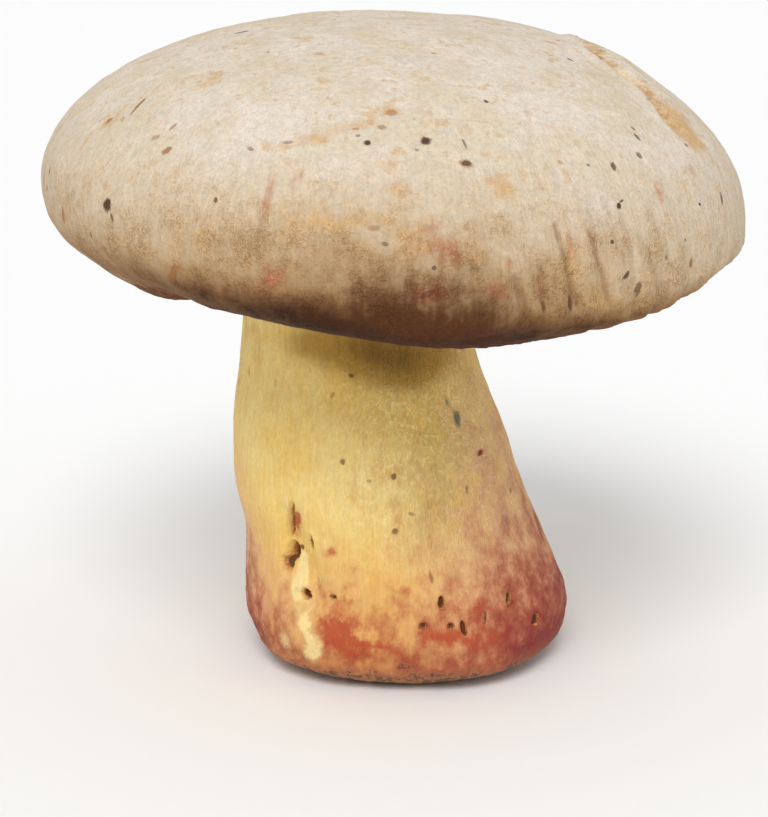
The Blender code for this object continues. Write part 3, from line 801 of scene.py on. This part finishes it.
stemSpecks = (
    (351, 375.5, 0.5, 0.45, 0, 0.9), (332, 395, 0.4, 0.7, -20, 0.5), (342.5, 462, 0.5, 0.6, 0, 0.8),
    (393.5, 476, 0.6, 0.6, 35, 0.9), (394.5, 531, 0.6, 0.7, 0, 0.8), (411.5, 514, 0.7, 0.35, -20, 0.6),
    (479, 452, 1, 0.45, 40, 0.9), (510, 490.5, 0.5, 0.6, 0, 0.7), (466, 489.5, 0.35, 0.8, 0, 0.6),
    (431, 577, 0.35, 1.5, 12, 0.6), (369, 481, 0.5, 0.3, 0, 0.5), (423, 626, 0.9, 0.6, 0, 0.8),
    (442, 604, 0.6, 1.3, 0, 0.8), (450.5, 626, 0.7, 0.7, 0, 0.9), (465, 630, 0.6, 1.4, 20, 0.9),
    (487, 619, 0.25, 1.2, 0, 0.8), (510, 600, 0.7, 1.4, -20, 0.9), (536, 619, 1.2, 0.8, 0, 0.9),
    (296, 549, 0.5, 0.5, 0, 1), (333, 597, 0.8, 0.5, 0, 0.7), (310, 543, 0.4, 1.2, 0, 0.8),
    (275, 383, 0.4, 0.9, 0, 0.3), (249, 371, 0.4, 1.2, 0, 0.3), (303, 595, 1.1, 0.6, -20, 0.8),
)


def stemFinish():
    material, tree, shader = newMaterial("nettedStem")
    start, hue = Wire(tree), tints(stem["colours"])
    here = start.node("ShaderNodeTexCoord", {}, {}, 3)
    streaked = here.stretched(1.0, 1.0, 0.14)
    cloud, mottle = here.ripple(42.0, 3.0, 0.55), here.ripple(190.0, 4.0, 0.62)
    grain, flecks = here.ripple(760.0, 3.0, 0.7), here.stretched(1.0, 1.0, 0.7).ripple(480.0, 4.0, 0.7)
    streak, fineStreak = streaked.ripple(420.0, 3.0, 0.62), streaked.ripple(1500.0, 2.0, 0.6)
    eaten, netted = start.attribute("eaten"), start.attribute("netted")
    # the fine net: seams between drawn-out cells
    seam = here.warped(600.0, 0.0005).stretched(1.0, 1.0, 0.27).seams(stem["netScale"])
    hollow, cord = seam.rise(0.06, 0.34), seam.rise(0.14, 0.02)

    skin = (cloud * 0.8 + streak * 0.4).rise(-0.14, 0.14).blend(hue["straw"], hue["butter"])
    skin = (mottle + cloud * 0.6 + streak * 0.6).rise(0.02, 0.30, 0.6).blend(skin, hue["amber"])
    hollow = hollow * netted * (streak * 1.6 + mottle + 0.75)
    skin = hollow.rise(0.10, 0.90, 0.55).blend(skin, hue["mesh"])
    skin = (cord * netted).rise(0.1, 0.9, 0.45).blend(skin, hue["cord"])
    # painted shade: olive and umber at the stem's top, under the cap's front
    shaded = start.attribute("olive")
    olive = shaded * 0.8 + start.attribute("under") * 0.22 + streak * 0.35 + mottle * 0.2
    skin = olive.rise(0.10, 0.75, 0.85).blend(skin, hue["olive"])
    skin = (shaded + streak * 0.4).rise(0.75, 1.5, 0.8).blend(skin, hue["paintedShadeUmber"])

    # the flush: flecked pink where it starts, deeper red further down and crimson low on the right
    flush = start.attribute("flush") + mottle * 0.55 + flecks * 0.50 + cloud * 0.35
    side = start.attribute("side")
    skin = flush.rise(-0.06, 0.72, 0.85).blend(skin, side.blend(hue["peach"], hue["pink"]))
    red = flush * 0.95 + side * 0.16 + mottle * 0.5 - 0.12
    skin = red.rise(0.30, 0.78, 0.85).blend(skin, hue["red"])
    skin = red.rise(0.58, 1.00, 0.9).blend(skin, hue["crimson"])
    pale = (flecks + mottle * 0.5 + cord * 0.05).rise(0.0, 0.28) * flush.rise(0.85, 0.45)
    skin = (pale * side * flush.rise(-0.05, 0.25)).rise(0.0, 0.9, 0.6).blend(skin, hue["fleck"])
    orange = start.attribute("orange") * (mottle * 3.0 + cloud + flecks * 1.4 + 0.72)
    skin = orange.rise(0.15, 0.95, 0.9).blend(skin, hue["orange"])
    cream = start.attribute("cream") * (mottle * 2.8 + flecks + 0.85)
    skin = cream.rise(0.20, 0.75, 0.9).blend(skin, hue["cream"])
    blue = start.attribute("blue") * (grain + streak * 0.8 + 0.8)
    skin = blue.rise(0.15, 0.85, 0.8).blend(skin, hue["bruise"])

    # eaten holes: rusty walls over cream flesh, dark inside
    wall = (mottle + grain).rise(-0.12, 0.12).blend(hue["rustWall"], hue["paleWall"])
    skin = (eaten + grain * 0.5).rise(0.25, 0.60, 0.9).blend(skin, wall)
    skin = (eaten + mottle * 0.5).rise(0.58, 0.95, 0.88).blend(skin, hue["hole"])
    darks = start.marks("specks", here.drift(1300.0, 1.0, 0.5, 1.1, 1.1, 0.0))
    skin = (darks * 0.85).blend(skin, hue["speck"])

    # the foot is paler, with soil left on it
    height = here.node("ShaderNodeSeparateXYZ", {}, {0: here}, 2)
    foot = (stem["paleTop"] - height) * 100 + mottle * 1.2 + grain * 0.5
    skin = foot.rise(-0.05, 0.75, 0.6).blend(skin, hue["foot"])
    soil = ((stem["soilTop"] - height) * 120 + mottle * 3.6 + grain * 2.4).rise(0.25, 0.95)
    skin = (soil * 0.8).blend(skin, hue["soil"])
    cutFlesh = (mottle * 0.6 + grain * 0.4).rise(-0.10, 0.14).blend(hue["cut"], hue["darkCut"])
    cutFlesh = here.noise(70.0, 3.0, 0.6).rise(0.56, 0.70, 0.4).blend(cutFlesh, hue["blueCut"])
    skin = start.attribute("cut").blend(skin, cutFlesh)

    shade = grain * 0.26 + fineStreak * 0.30 + mottle * 0.12 + 0.98
    relief = grain * 0.5 + fineStreak * 0.5 + streak * 0.4 + flecks * 0.4 + cord * netted * 0.35
    relief = relief - darks * 0.8 + soil * 0.8
    feed(tree, shader, skin.scaled(shade), 0.79 + grain * 0.14, relief, 0.00036)
    shader.inputs["Specular IOR Level"].default_value = 0.3
    return material


# Tubes: the sponge under the cap

tubes = dict(
    pitch=0.00125, wall=0.30, depth=0.0011, bulge=0.0024, jitter=0.17, thick=0.003, tuck=0.0008, seed=7,
    # the darkest tint is painted shade in the depths of the pores
    colours=dict(olive=(206, 176, 74), lemon=(224, 200, 104), well=(112, 86, 28), rust=(150, 96, 48),
                 bruise=(92, 104, 82)),
)


def makeTubes(capGrid, stemGrid):
    # six-sided pores on a jittered lattice in plan; each is a wall ridge, a mouth inside it and a deep
    # middle. height = the level between collar and rim, less a bulge, with the middle pushed up
    collar = stemGrid["skin"][np.argmin(np.abs(stemGrid["z"][:, 0] - stem["top"]))]
    margin = capGrid["skin"][-1]
    rim = margin + inwardOf(margin) * cap["rimInset"] + (0.0, 0.0, cap["rimRise"])
    middle = collar[:, :2].mean(axis=0)

    def around(points, ring, column=None):
        turn = np.arctan2(points[..., 1] - middle[1], points[..., 0] - middle[0])
        ringTurn = np.arctan2(ring[:, 1] - middle[1], ring[:, 0] - middle[0])
        values = np.hypot(*(ring[:, :2] - middle).T) if column is None else ring[:, column]
        order = np.argsort(ringTurn)
        return np.interp(turn, ringTurn[order], values[order], period=2 * pi)

    side = tubes["pitch"] / sqrt(3)  # a pore's corner lies this far from its middle
    reach = int(cap["radius"] * 1.25 / side)
    row, column = np.meshgrid(np.arange(-reach, reach), np.arange(-reach, reach), indexing="ij")
    flat = np.stack([(column + row / 2) * side, row * side * sqrt(3) / 2], axis=-1)
    seeded = np.random.default_rng(tubes["seed"]).uniform(-1, 1, flat.shape)
    seeded = seeded * tubes["jitter"] * tubes["pitch"]
    isPore = (column - row) % 3 == 0
    flat = flat + middle + seeded * np.where(isPore, 0.4, 1.0)[..., None]
    width = 2 * reach
    number = row + reach, column + reach

    inner, outer = around(flat, collar), around(flat, rim)
    away = np.hypot(*np.moveaxis(flat - middle, -1, 0))
    kept = isPore & (away > inner - tubes["tuck"]) & (away < outer + tubes["tuck"])
    kept &= (number[0] > 0) & (number[1] > 0) & (number[0] < width - 1) & (number[1] < width - 1)
    r, c = np.nonzero(kept)
    steps = ((0, 1), (1, 0), (1, -1), (0, -1), (-1, 0), (-1, 1))
    corners = np.stack([(r + down) * width + c + over for down, over in steps], axis=1)
    plan = flat.reshape(-1, 2)
    middleAt = r * width + c

    def level(points):
        share = np.clip((np.hypot(*(points - middle).T) - around(points, collar))
                        / (around(points, rim) - around(points, collar)), -0.05, 1.05)
        base = (1 - share) * around(points, collar, 2) + share * around(points, rim, 2)
        lumpy = 0.0005 * lumps(np.stack([points[:, 0], points[:, 1], 0 * share], axis=-1), 0.009, 31)
        return base - tubes["bulge"] * np.sin(pi * np.clip(share, 0, 1) ** 0.8) + lumpy, share

    used, slot = np.unique(corners, return_inverse=True)
    slot = slot.reshape(corners.shape)
    ridge = plan[used]
    hub = plan[middleAt]
    mouth = hub[:, None] + (plan[corners] - hub[:, None]) * (1 - tubes["wall"])
    mouth = mouth.reshape(-1, 2)
    ridgeZ, ridgeShare = level(ridge)
    mouthZ, mouthShare = level(mouth)
    hubZ, hubShare = level(hub)
    fade = smooth(7 * np.clip(hubShare * (1 - hubShare), 0, 1)) * 0.7 + 0.3
    mouthZ = mouthZ + tubes["depth"] * 0.18 * np.repeat(fade, 6)
    hubZ = hubZ + tubes["depth"] * fade

    nRidge, nHub = len(ridge), len(hub)
    points = np.concatenate([np.column_stack([ridge, ridgeZ]), np.column_stack([mouth, mouthZ]),
                             np.column_stack([hub, hubZ]), np.column_stack([ridge, ridgeZ + tubes["thick"]])])
    k = np.arange(nHub)[:, None]
    i = np.arange(6)[None, :]
    j = (i + 1) % 6
    ridgeI, ridgeJ = slot[:, i[0]], slot[:, j[0]]
    mouthI, mouthJ = nRidge + 6 * k + i, nRidge + 6 * k + j
    hubAt = nRidge + 6 * nHub + k + 0 * i
    walls = np.stack([ridgeI, mouthI, mouthJ, ridgeJ], axis=-1).reshape(-1, 4)
    wells = np.stack([mouthI, hubAt, mouthJ], axis=-1).reshape(-1, 3)
    lid = slot + nRidge + 7 * nHub  # the same hexagons again on the hidden upper side
    # the sides close along corners' edges that only one pore has
    one = np.stack([ridgeI, ridgeJ], axis=-1).reshape(-1, 2)
    key = one[:, 0] * (nRidge + 1) + one[:, 1]
    back = one[:, 1] * (nRidge + 1) + one[:, 0]
    bare = one[~np.isin(key, back)]
    shift = nRidge + 7 * nHub
    sides = np.column_stack([bare[:, 0], bare[:, 1], bare[:, 1] + shift, bare[:, 0] + shift])
    faces = walls.tolist() + wells.tolist() + lid.tolist() + sides.tolist()
    piece = solidMesh("tubeLayer", points, faces)
    # painted shade, deepest in each pore's middle
    well = np.concatenate([np.zeros(nRidge), np.full(6 * nHub, 0.35), np.ones(nHub), np.zeros(nRidge)])
    paint(piece, "well", well)
    paint(piece, "share", np.concatenate([ridgeShare, mouthShare, hubShare, ridgeShare]))
    return piece


def tubeFinish():
    material, tree, shader = newMaterial("yellowTubes")
    start, hue = Wire(tree), tints(tubes["colours"])
    here = start.node("ShaderNodeTexCoord", {}, {}, 3)
    cloud, mottle = here.noise(60.0, 3.0, 0.55), here.noise(300.0, 3.0, 0.6)
    grain = here.noise(1500.0, 2.0, 0.6)
    skin = (cloud * 0.6 + mottle * 0.4).rise(0.38, 0.62).blend(hue["olive"], hue["lemon"])
    # painted shade in the pores' depths
    well = start.attribute("well") + (mottle - 0.5) * 0.3
    skin = well.rise(0.15, 1.0, 0.85).blend(skin, hue["well"])
    rusty = start.attribute("share") + (cloud - 0.5) * 0.30 + (mottle - 0.5) * 0.15
    skin = rusty.rise(0.86, 1.05, 0.7).blend(skin, hue["rust"])
    skin = here.noise(45.0, 3.0, 0.6).rise(0.60, 0.74, 0.6).blend(skin, hue["bruise"])
    shade = (grain - 0.5) * 0.3 + 1.0
    feed(tree, shader, skin.scaled(shade), 0.7 + grain * 0.15, grain * 0.6 + mottle * 0.4, 0.0002)
    return material


# Floor and light

studio = dict(floorSize=8.0, floorColour=(0.93, 0.93, 0.93, 1.0), sky=0.68,
              sunPower=1.70, sunAngle=28.0, sunFrom=(-0.08, -0.70, 0.71))


def makeStudio():
    half = studio["floorSize"] / 2
    mesh = bpy.data.meshes.new("floor")
    corners = [(-half, -half, 0), (half, -half, 0), (half, half, 0), (-half, half, 0)]
    mesh.from_pydata(corners, [], [(0, 1, 2, 3)])
    floor = bpy.data.objects.new("floor", mesh)
    scene.collection.objects.link(floor)
    material, tree, shader = newMaterial("paleFloor")
    shader.inputs["Base Color"].default_value = studio["floorColour"]
    shader.inputs["Roughness"].default_value = 0.9
    mesh.materials.append(material)
    world = bpy.data.worlds.new("studioSky")
    world.use_nodes = True
    sky = world.node_tree.nodes["Background"].inputs
    sky["Color"].default_value, sky["Strength"].default_value = (1.0, 1.0, 1.0, 1.0), studio["sky"]
    scene.world = world
    data = bpy.data.lights.new("softSun", "SUN")
    data.energy, data.angle = studio["sunPower"], radians(studio["sunAngle"])
    sun = bpy.data.objects.new("softSun", data)
    scene.collection.objects.link(sun)
    sun.rotation_euler = (-Vector(studio["sunFrom"])).to_track_quat("-Z", "Y").to_euler()
    scene.view_settings.view_transform = "Standard"


makeCamera()
makeStudio()
print("camera and studio are up")
capGrid = makeCapGrid()
capSkin = makeCap(capGrid)
capSkin.data.materials.append(capFinish())
print("cap:", len(capSkin.data.polygons), "faces")
stemGrid = makeStemGrid()
stemPiece = makeStem(stemGrid)
stemPiece.data.materials.append(stemFinish())
print("stem:", len(stemPiece.data.polygons), "faces")
tubeLayer = makeTubes(capGrid, stemGrid)
tubeLayer.data.materials.append(tubeFinish())
print("tubes:", len(tubeLayer.data.polygons), "faces")
